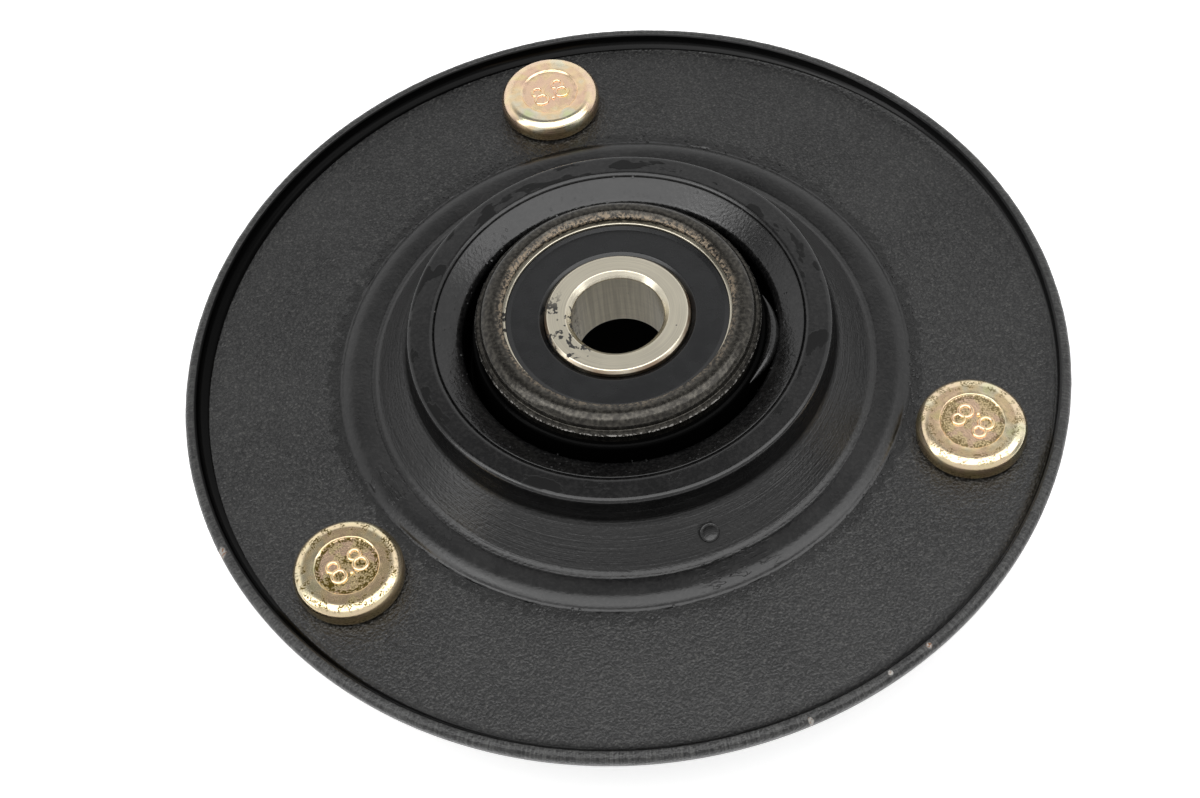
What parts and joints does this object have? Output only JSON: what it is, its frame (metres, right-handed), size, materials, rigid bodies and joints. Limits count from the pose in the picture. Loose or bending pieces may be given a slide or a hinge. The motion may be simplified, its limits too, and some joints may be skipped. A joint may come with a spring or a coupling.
{
  "type": "strut mount",
  "caption": "Round strut mount: pressed flange plate with press-in studs, a bonded rubber bush and a crimped cup that holds a sealed ball bearing for the strut rod.",
  "frame": {"origin": "on the bearing's axis, in the plane of the plate's mounting face, where the studs stand out", "axes": "+Z along the bearing's axis towards the stud heads and the bearing's open face; the studs point along -Z and the first one lies on +Y"},
  "size_m": [0.146, 0.146, 0.0419],
  "materials": {
    "black_paint": "satin black paint with orange peel",
    "moulded_rubber": "satin moulded rubber",
    "cup_steel": "worn black finish with light rust on the lip's edge",
    "yellow_zinc": "yellow passivated zinc",
    "ring_steel": "ground bearing steel",
    "seal_rubber": "matt seal rubber",
    "cage_steel": "pressed steel strip",
    "ball_steel": "polished bearing steel"
  },
  "bodies": {
    "mount": {"flange_plate": "black_paint", "rubber_bush": "moulded_rubber", "bearing_cup": "cup_steel", "mounting_studs": "yellow_zinc", "outer_ring": "ring_steel", "seal_front": "seal_rubber", "seal_back": "seal_rubber"},
    "rod_ring": {"inner_ring": "ring_steel"},
    "ball_cage": {"cage_front": "cage_steel", "cage_back": "cage_steel", "cage_rivets": "cage_steel", "ball_1": "ball_steel", "ball_2": "ball_steel", "ball_3": "ball_steel", "ball_4": "ball_steel", "ball_5": "ball_steel", "ball_6": "ball_steel", "ball_7": "ball_steel"}
  },
  "joints": [
    {"name": "inner_ring_spin", "type": "hinge", "parent": "mount", "child": "rod_ring", "pos_m": [0, 0, 0.0088], "axis": [0, 0, 1], "continuous": true},
    {"name": "cage_orbit", "type": "hinge", "parent": "mount", "child": "ball_cage", "pos_m": [0, 0, 0.0088], "axis": [0, 0, 1], "continuous": true}
  ],
  "couplings": [
    {"joint": "cage_orbit", "follows": "inner_ring_spin", "ratio": 0.36074}
  ]
}
